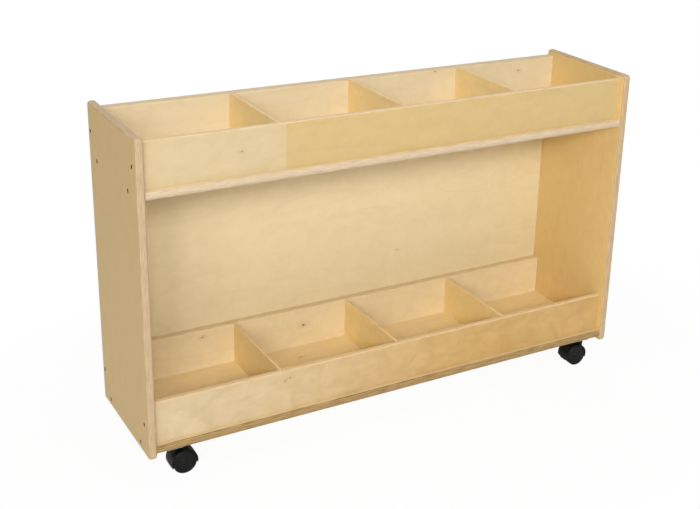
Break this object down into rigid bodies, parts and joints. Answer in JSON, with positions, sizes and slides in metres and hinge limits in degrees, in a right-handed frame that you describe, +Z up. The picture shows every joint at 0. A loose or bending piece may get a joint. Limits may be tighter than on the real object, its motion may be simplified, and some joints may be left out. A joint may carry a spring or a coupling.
{
  "type": "picture book browser bin",
  "caption": "Wooden browser case on swivel casters: rows of open bins above and below a display space, with front lips, thin dividers and a back panel.",
  "frame": {"origin": "on the floor, under the middle of the case, halfway between the side panels' outer faces and between their front and rear edges", "axes": "+X across the case to its right side as seen from the front, +Y from the open front to the back panel, +Z up"},
  "size_m": [1.2192, 0.3048, 0.76],
  "materials": {
    "side_ply": "birch plywood, clear satin lacquer",
    "shelf_ply": "birch plywood, clear satin lacquer",
    "lip_ply": "birch plywood, clear satin lacquer",
    "rail_ply": "birch plywood, clear satin lacquer",
    "panel_ply": "thin birch plywood, clear satin lacquer",
    "divider_ply": "thin birch plywood, clear satin lacquer",
    "screw_steel": "blackened steel",
    "panel_screw_steel": "zinc plated",
    "plate_steel": "zinc plated, pressed",
    "plate_screw_steel": "zinc plated",
    "pin_steel": "turned, bright",
    "axle_steel": "turned, bright",
    "hood_nylon": "moulded, fine satin texture",
    "wheel_nylon": "moulded, satin"
  },
  "bodies": {
    "case": {"left_side_panel": "side_ply", "right_side_panel": "side_ply", "upper_shelf": "shelf_ply", "lower_shelf": "shelf_ply", "upper_front_lip": "lip_ply", "lower_front_lip": "lip_ply", "upper_back_rail": "rail_ply", "lower_back_rail": "rail_ply", "back_panel": "panel_ply", "upper_divider_1": "divider_ply", "upper_divider_2": "divider_ply", "upper_divider_3": "divider_ply", "lower_divider_1": "divider_ply", "lower_divider_2": "divider_ply", "lower_divider_3": "divider_ply", "left_side_screws": "screw_steel", "right_side_screws": "screw_steel", "back_panel_screws": "panel_screw_steel", "front_left_caster_plate": "plate_steel", "front_left_caster_plate_screws": "plate_screw_steel", "front_left_caster_kingpin": "pin_steel", "front_left_caster_kingpin_ring": "pin_steel", "front_right_caster_plate": "plate_steel", "front_right_caster_plate_screws": "plate_screw_steel", "front_right_caster_kingpin": "pin_steel", "front_right_caster_kingpin_ring": "pin_steel", "rear_left_caster_plate": "plate_steel", "rear_left_caster_plate_screws": "plate_screw_steel", "rear_left_caster_kingpin": "pin_steel", "rear_left_caster_kingpin_ring": "pin_steel", "rear_right_caster_plate": "plate_steel", "rear_right_caster_plate_screws": "plate_screw_steel", "rear_right_caster_kingpin": "pin_steel", "rear_right_caster_kingpin_ring": "pin_steel"},
    "front_left_swivel": {"front_left_caster_hood": "hood_nylon", "front_left_caster_axle": "axle_steel"},
    "front_left_left_wheel": {"front_left_caster_left_wheel": "wheel_nylon"},
    "front_left_right_wheel": {"front_left_caster_right_wheel": "wheel_nylon"},
    "front_right_swivel": {"front_right_caster_hood": "hood_nylon", "front_right_caster_axle": "axle_steel"},
    "front_right_left_wheel": {"front_right_caster_left_wheel": "wheel_nylon"},
    "front_right_right_wheel": {"front_right_caster_right_wheel": "wheel_nylon"},
    "rear_left_swivel": {"rear_left_caster_hood": "hood_nylon", "rear_left_caster_axle": "axle_steel"},
    "rear_left_left_wheel": {"rear_left_caster_left_wheel": "wheel_nylon"},
    "rear_left_right_wheel": {"rear_left_caster_right_wheel": "wheel_nylon"},
    "rear_right_swivel": {"rear_right_caster_hood": "hood_nylon", "rear_right_caster_axle": "axle_steel"},
    "rear_right_left_wheel": {"rear_right_caster_left_wheel": "wheel_nylon"},
    "rear_right_right_wheel": {"rear_right_caster_right_wheel": "wheel_nylon"}
  },
  "joints": [
    {"name": "front_left_swivel_turn", "type": "hinge", "parent": "case", "child": "front_left_swivel", "pos_m": [-0.5476, -0.1224, 0.0627], "axis": [0, 0, 1], "continuous": true},
    {"name": "front_left_left_wheel_roll", "type": "hinge", "parent": "front_left_swivel", "child": "front_left_left_wheel", "pos_m": [-0.5286, -0.1224, 0.0265], "axis": [0, 1, 0], "continuous": true},
    {"name": "front_left_right_wheel_roll", "type": "hinge", "parent": "front_left_swivel", "child": "front_left_right_wheel", "pos_m": [-0.5286, -0.1224, 0.0265], "axis": [0, 1, 0], "continuous": true},
    {"name": "front_right_swivel_turn", "type": "hinge", "parent": "case", "child": "front_right_swivel", "pos_m": [0.5476, -0.1224, 0.0627], "axis": [0, 0, 1], "continuous": true},
    {"name": "front_right_left_wheel_roll", "type": "hinge", "parent": "front_right_swivel", "child": "front_right_left_wheel", "pos_m": [0.5286, -0.1224, 0.0265], "axis": [0, 1, 0], "continuous": true},
    {"name": "front_right_right_wheel_roll", "type": "hinge", "parent": "front_right_swivel", "child": "front_right_right_wheel", "pos_m": [0.5286, -0.1224, 0.0265], "axis": [0, 1, 0], "continuous": true},
    {"name": "rear_left_swivel_turn", "type": "hinge", "parent": "case", "child": "rear_left_swivel", "pos_m": [-0.5476, 0.1224, 0.0627], "axis": [0, 0, 1], "continuous": true},
    {"name": "rear_left_left_wheel_roll", "type": "hinge", "parent": "rear_left_swivel", "child": "rear_left_left_wheel", "pos_m": [-0.5286, 0.1224, 0.0265], "axis": [0, 1, 0], "continuous": true},
    {"name": "rear_left_right_wheel_roll", "type": "hinge", "parent": "rear_left_swivel", "child": "rear_left_right_wheel", "pos_m": [-0.5286, 0.1224, 0.0265], "axis": [0, 1, 0], "continuous": true},
    {"name": "rear_right_swivel_turn", "type": "hinge", "parent": "case", "child": "rear_right_swivel", "pos_m": [0.5476, 0.1224, 0.0627], "axis": [0, 0, 1], "continuous": true},
    {"name": "rear_right_left_wheel_roll", "type": "hinge", "parent": "rear_right_swivel", "child": "rear_right_left_wheel", "pos_m": [0.5286, 0.1224, 0.0265], "axis": [0, 1, 0], "continuous": true},
    {"name": "rear_right_right_wheel_roll", "type": "hinge", "parent": "rear_right_swivel", "child": "rear_right_right_wheel", "pos_m": [0.5286, 0.1224, 0.0265], "axis": [0, 1, 0], "continuous": true}
  ]
}
